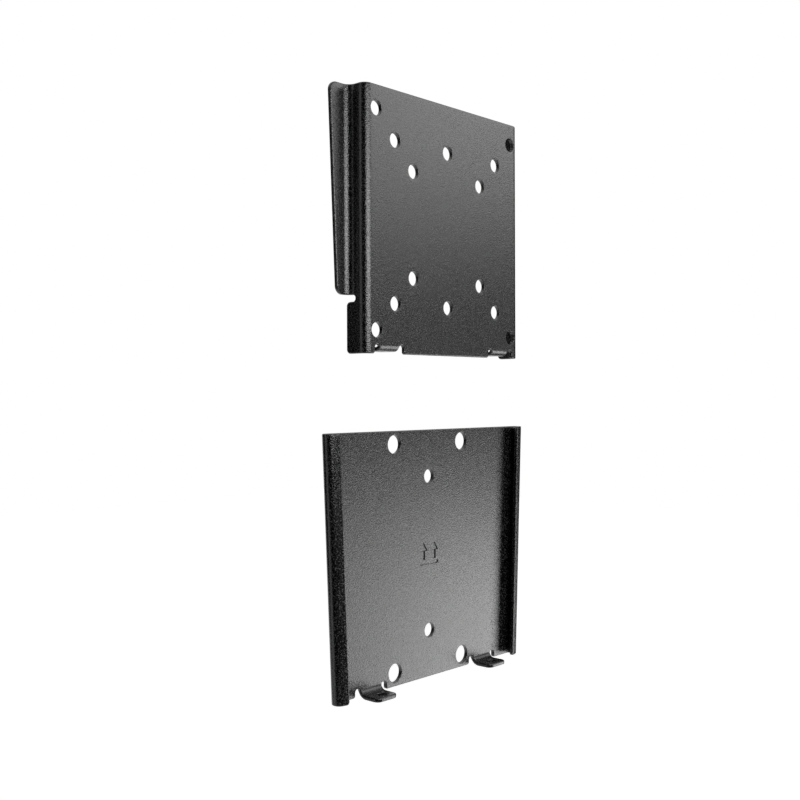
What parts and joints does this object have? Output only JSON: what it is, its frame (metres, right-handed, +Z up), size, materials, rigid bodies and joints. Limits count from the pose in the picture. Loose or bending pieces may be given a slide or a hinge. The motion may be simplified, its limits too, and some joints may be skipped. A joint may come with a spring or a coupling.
{
  "type": "monitor wall bracket",
  "caption": "Flat two-plate monitor wall bracket of folded black steel: a tray-shaped screen plate whose tapered side flanges drop into the folded channels of a wall plate.",
  "frame": {"origin": "middle of the four wall screw holes, on the wall plane behind the wall plate", "axes": "+X to the right seen from the front, +Y into the wall, +Z up"},
  "size_m": [0.1448, 0.0148, 0.2803],
  "materials": {
    "wall_plate_coat": "satin black powder coat, fine grain",
    "monitor_plate_coat": "satin black powder coat, fine grain"
  },
  "bodies": {
    "wall_plate": {"wall_plate": "wall_plate_coat"},
    "monitor_plate": {"monitor_plate": "monitor_plate_coat"}
  },
  "joints": [
    {"name": "lift_off", "type": "slide", "parent": "wall_plate", "child": "monitor_plate", "axis": [0, 0, 1], "range_m": [-0.158, 0]}
  ]
}
